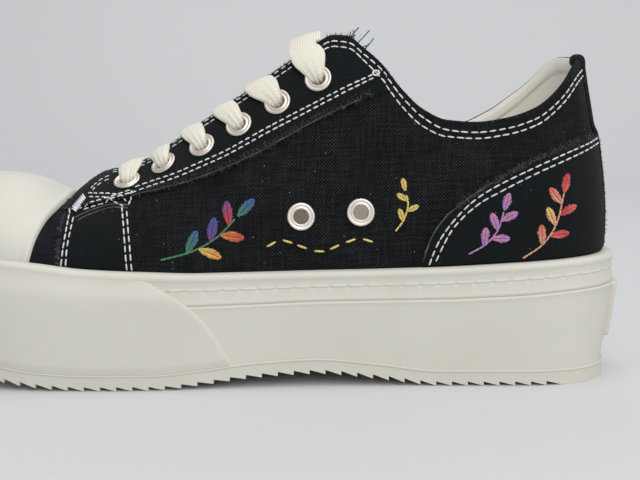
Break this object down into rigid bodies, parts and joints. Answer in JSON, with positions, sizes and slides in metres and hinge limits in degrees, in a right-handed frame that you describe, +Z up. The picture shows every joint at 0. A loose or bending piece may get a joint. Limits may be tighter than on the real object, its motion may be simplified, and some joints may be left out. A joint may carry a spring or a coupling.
{
  "type": "platform sneaker",
  "caption": "Low-top platform sneaker for the right foot: black canvas upper, off-white rubber toe cap, tall rubber sole with a saw-tooth tread edge, metal eyelets and flat cream lace.",
  "frame": {"origin": "middle of the shoe's footprint, on the floor", "axes": "-X towards the toe, +X towards the heel, -Y towards the inner side of the foot, +Z up"},
  "size_m": [0.2639, 0.0954, 0.13],
  "materials": {
    "off_white_rubber": "satin moulded rubber",
    "black_canvas": "woven cotton canvas",
    "nickel_eyelet": "nickel plated",
    "cream_lace": "flat woven cotton",
    "insole_cloth": "woven cotton"
  },
  "bodies": {
    "root": {"outsole": "off_white_rubber", "midsole": "off_white_rubber", "foxing_band": "off_white_rubber", "toe_bumper": "off_white_rubber", "heel_plate": "off_white_rubber", "toe_cap": "off_white_rubber", "upper": "black_canvas", "eyestay_medial": "black_canvas", "eyestay_lateral": "black_canvas", "heel_counter": "black_canvas", "heel_strip": "black_canvas", "tongue": "black_canvas", "eyelet_medial_1": "nickel_eyelet", "eyelet_medial_2": "nickel_eyelet", "eyelet_medial_3": "nickel_eyelet", "eyelet_medial_4": "nickel_eyelet", "eyelet_medial_5": "nickel_eyelet", "eyelet_medial_6": "nickel_eyelet", "eyelet_lateral_1": "nickel_eyelet", "eyelet_lateral_2": "nickel_eyelet", "eyelet_lateral_3": "nickel_eyelet", "eyelet_lateral_4": "nickel_eyelet", "eyelet_lateral_5": "nickel_eyelet", "eyelet_lateral_6": "nickel_eyelet", "vent_1": "nickel_eyelet", "vent_2": "nickel_eyelet", "lace_bar_1": "cream_lace", "lace_bar_2": "cream_lace", "lace_bar_3": "cream_lace", "lace_bar_4": "cream_lace", "lace_bar_5": "cream_lace", "lace_bar_6": "cream_lace", "insole": "insole_cloth"}
  },
  "joints": []
}
